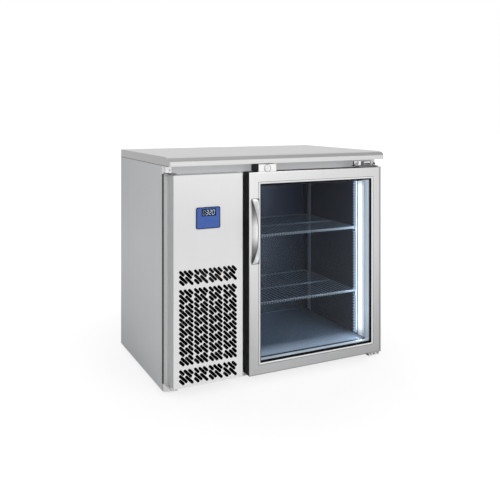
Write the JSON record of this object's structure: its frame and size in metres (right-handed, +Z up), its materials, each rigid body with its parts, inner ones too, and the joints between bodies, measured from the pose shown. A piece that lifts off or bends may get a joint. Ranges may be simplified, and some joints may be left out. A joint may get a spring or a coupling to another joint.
{
  "type": "undercounter refrigerator",
  "caption": "Low refrigerated cabinet: a hinged glass door compartment with shelves beside a vented machine compartment, under a steel worktop.",
  "frame": {"origin": "centre of the overall box on the floor, under the levelling feet", "axes": "+X to the right seen from the front, +Y from the doors to the back, +Z up"},
  "size_m": [0.956, 0.598, 0.85],
  "materials": {
    "stainless": "brushed",
    "galvanised": "satin",
    "foam": "matte",
    "liner_grey": "satin",
    "black_plastic": "matte",
    "board": "matte",
    "aluminium": "satin",
    "diffuser": "frosted",
    "motor": "satin",
    "white_plastic": "satin",
    "copper": "satin",
    "black_paint": "gloss",
    "rubber": "matte",
    "zinc": "polished",
    "glass": "clear",
    "blue_plastic": "satin",
    "display": "gloss",
    "shelf_coat": "epoxy coated",
    "foot": "matte"
  },
  "bodies": {
    "cabinet": {"side_panel_left": "stainless", "side_panel_right": "stainless", "rear_panel": "galvanised", "base_pan": "galvanised", "front_frame": "stainless", "bulkhead_skin": "galvanised", "insulation": "foam", "liner": "liner_grey", "breaker_strips": "black_plastic", "worktop": "stainless", "worktop_core": "board", "led_housing": "aluminium", "led_diffuser": "diffuser", "pilasters": "galvanised", "shelf_clips": "galvanised", "evaporator_coil": "galvanised", "evaporator_cover": "galvanised", "evap_fan_motor": "motor", "drip_tray": "white_plastic", "temp_probe": "copper", "compressor_shell": "black_paint", "compressor_feet": "rubber", "terminal_box": "black_plastic", "condenser_coil": "black_paint", "fan_shroud": "black_plastic", "cond_fan_motor": "motor", "refrigerant_pipes": "copper", "evaporation_pan": "white_plastic", "power_cord": "rubber", "lock_housing": "black_plastic", "lock_plate": "stainless", "glass_hinge_top": "zinc", "glass_hinge_bottom": "zinc", "machine_hinge_top": "zinc", "machine_hinge_bottom": "zinc", "bracket_screws": "zinc"},
    "glass_door": {"glass_door_frame": "stainless", "glass_door_liner": "black_plastic", "glazing_bead": "stainless", "glass_panes": "glass", "glass_spacer": "black_plastic", "door_gasket": "rubber", "door_handle": "stainless"},
    "machine_door": {"machine_door_skin": "stainless", "machine_door_frame": "galvanised", "controller_bezel": "blue_plastic", "controller_display": "display"},
    "key_set": {"key_set": "blue_plastic"},
    "key_down": {"key_down": "blue_plastic"},
    "key_up": {"key_up": "blue_plastic"},
    "lock": {"lock_cylinder": "zinc", "lock_cam": "zinc"},
    "evap_fan": {"evap_fan_blade": "black_plastic"},
    "cond_fan": {"cond_fan_blade": "white_plastic"},
    "upper_shelf": {"upper_shelf": "shelf_coat"},
    "lower_shelf": {"lower_shelf": "shelf_coat"},
    "foot_front_left": {"foot_front_left": "foot"},
    "foot_front_right": {"foot_front_right": "foot"},
    "foot_rear_left": {"foot_rear_left": "foot"},
    "foot_rear_right": {"foot_rear_right": "foot"}
  },
  "joints": [
    {"name": "glass_door_hinge", "type": "hinge", "parent": "cabinet", "child": "glass_door", "pos_m": [0.446, -0.227, 0.4], "axis": [0, 0, 1], "range_deg": [0, 110]},
    {"name": "machine_door_hinge", "type": "hinge", "parent": "cabinet", "child": "machine_door", "pos_m": [-0.451, -0.224, 0.4], "axis": [0, 0, -1], "range_deg": [0, 100]},
    {"name": "lock_turn", "type": "hinge", "parent": "cabinet", "child": "lock", "pos_m": [-0.078, -0.231, 0.8], "axis": [0, 1, 0], "range_deg": [0, 90]},
    {"name": "evap_fan_spin", "type": "hinge", "parent": "cabinet", "child": "evap_fan", "pos_m": [-0.0785, 0.049, 0.6485], "axis": [1, 0, 0], "continuous": true},
    {"name": "cond_fan_spin", "type": "hinge", "parent": "cabinet", "child": "cond_fan", "pos_m": [-0.325, -0.094, 0.2], "axis": [0, 1, 0], "continuous": true},
    {"name": "upper_shelf_lift", "type": "slide", "parent": "cabinet", "child": "upper_shelf", "axis": [0, 0, 1], "range_m": [0, 0.045]},
    {"name": "lower_shelf_lift", "type": "slide", "parent": "cabinet", "child": "lower_shelf", "axis": [0, 0, 1], "range_m": [0, 0.045]},
    {"name": "key_set_press", "type": "slide", "parent": "machine_door", "child": "key_set", "axis": [0, 1, 0], "range_m": [0, 0.0008], "stiffness_N_per_m": 400},
    {"name": "key_down_press", "type": "slide", "parent": "machine_door", "child": "key_down", "axis": [0, 1, 0], "range_m": [0, 0.0008], "stiffness_N_per_m": 400},
    {"name": "key_up_press", "type": "slide", "parent": "machine_door", "child": "key_up", "axis": [0, 1, 0], "range_m": [0, 0.0008], "stiffness_N_per_m": 400},
    {"name": "foot_front_left_adjust", "type": "slide", "parent": "cabinet", "child": "foot_front_left", "axis": [0, 0, -1], "range_m": [-0.003, 0.012]},
    {"name": "foot_front_right_adjust", "type": "slide", "parent": "cabinet", "child": "foot_front_right", "axis": [0, 0, -1], "range_m": [-0.003, 0.012]},
    {"name": "foot_rear_left_adjust", "type": "slide", "parent": "cabinet", "child": "foot_rear_left", "axis": [0, 0, -1], "range_m": [-0.003, 0.012]},
    {"name": "foot_rear_right_adjust", "type": "slide", "parent": "cabinet", "child": "foot_rear_right", "axis": [0, 0, -1], "range_m": [-0.003, 0.012]}
  ]
}
